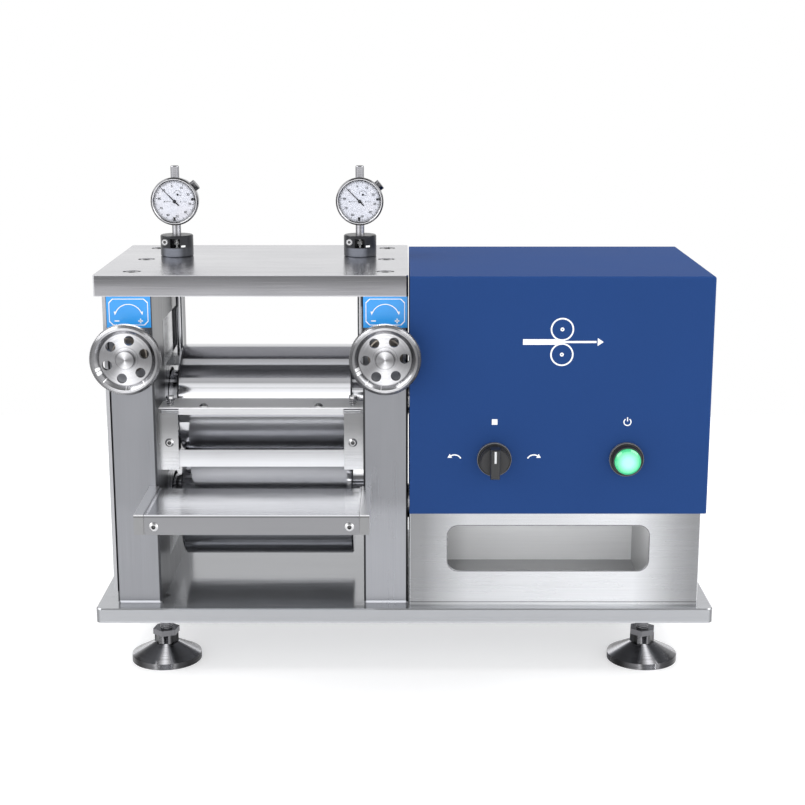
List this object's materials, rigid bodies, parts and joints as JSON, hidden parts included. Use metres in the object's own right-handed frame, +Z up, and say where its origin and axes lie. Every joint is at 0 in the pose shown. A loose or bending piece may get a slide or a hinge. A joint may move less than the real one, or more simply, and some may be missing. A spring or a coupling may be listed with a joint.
{
  "type": "bench rolling press",
  "caption": "Motor driven bench press with polished steel rolls, wedge gap setting by handwheels, dial gauges, feed tray and a blue control cabinet over an open tool box.",
  "frame": {"origin": "on the floor under the middle of the machine's bounding box", "axes": "+X towards the control cabinet, +Y to the back, +Z up; the tray and handwheels face -Y"},
  "size_m": [0.54, 0.3042, 0.4326],
  "materials": {
    "polished_steel": "fine brushed stainless, light satin",
    "ground_steel": "ground plate steel, nickel plated",
    "roll_steel": "hardened roll, ground and polished",
    "bearing_steel": "polished bearing rings with seals",
    "gear_steel": "machined and lightly oiled",
    "screw_steel": "bright zinc or stainless",
    "bronze": "turned bronze bush",
    "wheel_steel": "turned face with circular brushing, knurled rim",
    "sheet_steel": "bent stainless sheet, brushed",
    "blue_paint": "smooth blue powder coat",
    "sky_plate": "printed sky blue plate with a white border",
    "black_anodised": "black anodised, satin",
    "gauge_chrome": "satin chrome plate",
    "dial_white": "white printed dial",
    "needle_black": "black enamel",
    "black_plastic": "satin black moulding",
    "green_lens": "clear green lens, lit from within",
    "motor_grey": "dark grey paint"
  },
  "bodies": {
    "machine_frame": {"base_plate": "polished_steel", "foot_pads": "screw_steel", "foot_studs": "screw_steel", "column_left": "ground_steel", "column_right": "ground_steel", "side_cover": "ground_steel", "top_plate": "ground_steel", "cap_screws": "screw_steel", "return_springs": "screw_steel", "direction_plates": "sky_plate", "lower_blocks": "ground_steel", "lower_bearings": "bearing_steel", "screw_bushes": "bronze", "gauge_holders": "black_anodised", "gauge_clamp_screws": "screw_steel", "gauge_cases": "gauge_chrome", "guide_brackets": "sheet_steel", "scraper_posts": "screw_steel", "scraper_springs": "screw_steel", "feed_plate": "sheet_steel", "tray_arms": "ground_steel", "tray": "sheet_steel", "button_screws": "screw_steel", "tool_box": "sheet_steel", "tool_tray": "sheet_steel", "cabinet_deck": "sheet_steel", "control_hood": "blue_paint", "power_inlet": "black_plastic", "selector_bezel": "black_plastic", "power_bezel": "black_plastic", "gear_motor": "motor_grey", "motor_bracket": "ground_steel"},
    "upper_lift": {"upper_blocks": "ground_steel", "upper_bearings": "bearing_steel", "gauge_rods": "screw_steel"},
    "lower_roll_set": {"lower_roll": "roll_steel", "drive_gear_lower": "gear_steel", "bull_gear": "gear_steel"},
    "upper_roll_set": {"upper_roll": "roll_steel", "drive_gear_upper": "gear_steel"},
    "pinion_set": {"motor_pinion": "gear_steel"},
    "wheel_set_left": {"lead_screw_left": "screw_steel", "handwheel_left": "wheel_steel"},
    "wheel_set_right": {"lead_screw_right": "screw_steel", "handwheel_right": "wheel_steel"},
    "wedge_set_left": {"wedge_left": "ground_steel"},
    "wedge_set_right": {"wedge_right": "ground_steel"},
    "needle_set_left": {"gauge_needle_left": "needle_black"},
    "needle_set_right": {"gauge_needle_right": "needle_black"},
    "plunger_set_left": {"gauge_plunger_left": "screw_steel"},
    "plunger_set_right": {"gauge_plunger_right": "screw_steel"},
    "bezel_set_left": {"gauge_bezel_left": "gauge_chrome", "gauge_dial_left": "dial_white"},
    "bezel_set_right": {"gauge_bezel_right": "gauge_chrome", "gauge_dial_right": "dial_white"},
    "scraper_set": {"scraper_bar": "ground_steel", "scraper_blade": "sheet_steel", "blade_screws": "screw_steel"},
    "selector_set": {"selector_knob": "black_plastic"},
    "button_set": {"power_button": "green_lens"}
  },
  "joints": [
    {"name": "lower_roll_turn", "type": "hinge", "parent": "machine_frame", "child": "lower_roll_set", "pos_m": [-0.1245, 0.0371, 0.124], "axis": [1, 0, 0], "continuous": true},
    {"name": "gap_wheel_left", "type": "hinge", "parent": "machine_frame", "child": "wheel_set_left", "pos_m": [-0.23285, -0.0829, 0.283], "axis": [0, 1, 0], "range_deg": [-1620.5, 1620.5]},
    {"name": "gap_wheel_right", "type": "hinge", "parent": "machine_frame", "child": "wheel_set_right", "pos_m": [-0.01615, -0.0829, 0.283], "axis": [0, 1, 0], "range_deg": [-1620.5, 1620.5]},
    {"name": "wedge_slide_left", "type": "slide", "parent": "machine_frame", "child": "wedge_set_left", "axis": [0, 1, 0], "range_m": [-0.01351, 0.01351]},
    {"name": "wedge_slide_right", "type": "slide", "parent": "machine_frame", "child": "wedge_set_right", "axis": [0, 1, 0], "range_m": [-0.01351, 0.01351]},
    {"name": "upper_roll_lift", "type": "slide", "parent": "machine_frame", "child": "upper_lift", "axis": [0, 0, 1], "range_m": [-0.0009, 0.0009], "deforming": ["return_springs"]},
    {"name": "upper_roll_turn", "type": "hinge", "parent": "upper_lift", "child": "upper_roll_set", "pos_m": [-0.1245, 0.0371, 0.223], "axis": [1, 0, 0], "continuous": true},
    {"name": "motor_pinion_turn", "type": "hinge", "parent": "machine_frame", "child": "pinion_set", "pos_m": [0.027, 0.0371, 0.19415], "axis": [1, 0, 0], "continuous": true},
    {"name": "plunger_slide_left", "type": "slide", "parent": "machine_frame", "child": "plunger_set_left", "axis": [0, 0, 1], "range_m": [-0.0009, 0.0009]},
    {"name": "plunger_slide_right", "type": "slide", "parent": "machine_frame", "child": "plunger_set_right", "axis": [0, 0, 1], "range_m": [-0.0009, 0.0009]},
    {"name": "needle_turn_left", "type": "hinge", "parent": "machine_frame", "child": "needle_set_left", "pos_m": [-0.2085, 0.0546, 0.4007], "axis": [0, 1, 0], "range_deg": [-324.2, 324.2]},
    {"name": "needle_turn_right", "type": "hinge", "parent": "machine_frame", "child": "needle_set_right", "pos_m": [-0.0405, 0.0546, 0.4007], "axis": [0, 1, 0], "range_deg": [-324.2, 324.2]},
    {"name": "bezel_turn_left", "type": "hinge", "parent": "machine_frame", "child": "bezel_set_left", "pos_m": [-0.2085, 0.0546, 0.4007], "axis": [0, 1, 0], "continuous": true},
    {"name": "bezel_turn_right", "type": "hinge", "parent": "machine_frame", "child": "bezel_set_right", "pos_m": [-0.0405, 0.0546, 0.4007], "axis": [0, 1, 0], "continuous": true},
    {"name": "scraper_lift", "type": "hinge", "parent": "machine_frame", "child": "scraper_set", "pos_m": [-0.1245, -0.0434, 0.22885], "axis": [1, 0, 0], "range_deg": [0, 4], "stiffness_Nm_per_rad": 3, "springref_deg": -2.86, "deforming": ["scraper_springs"]},
    {"name": "selector_turn", "type": "hinge", "parent": "machine_frame", "child": "selector_set", "pos_m": [0.077, -0.0814, 0.193], "axis": [0, 1, 0], "range_deg": [-45, 45]},
    {"name": "power_button_press", "type": "slide", "parent": "machine_frame", "child": "button_set", "axis": [0, 1, 0], "range_m": [0, 0.003], "stiffness_N_per_m": 400, "springref_m": -0.0005}
  ],
  "couplings": [
    {"joint": "upper_roll_turn", "follows": "lower_roll_turn", "ratio": -1},
    {"joint": "motor_pinion_turn", "follows": "lower_roll_turn", "ratio": -2.5},
    {"joint": "gap_wheel_left", "follows": "upper_roll_lift", "rad_per_m": 31416},
    {"joint": "gap_wheel_right", "follows": "upper_roll_lift", "rad_per_m": 31416},
    {"joint": "wedge_slide_left", "follows": "upper_roll_lift", "ratio": -15},
    {"joint": "wedge_slide_right", "follows": "upper_roll_lift", "ratio": -15},
    {"joint": "plunger_slide_left", "follows": "upper_roll_lift", "ratio": 1},
    {"joint": "plunger_slide_right", "follows": "upper_roll_lift", "ratio": 1},
    {"joint": "needle_turn_left", "follows": "upper_roll_lift", "rad_per_m": 6283.2},
    {"joint": "needle_turn_right", "follows": "upper_roll_lift", "rad_per_m": 6283.2}
  ]
}
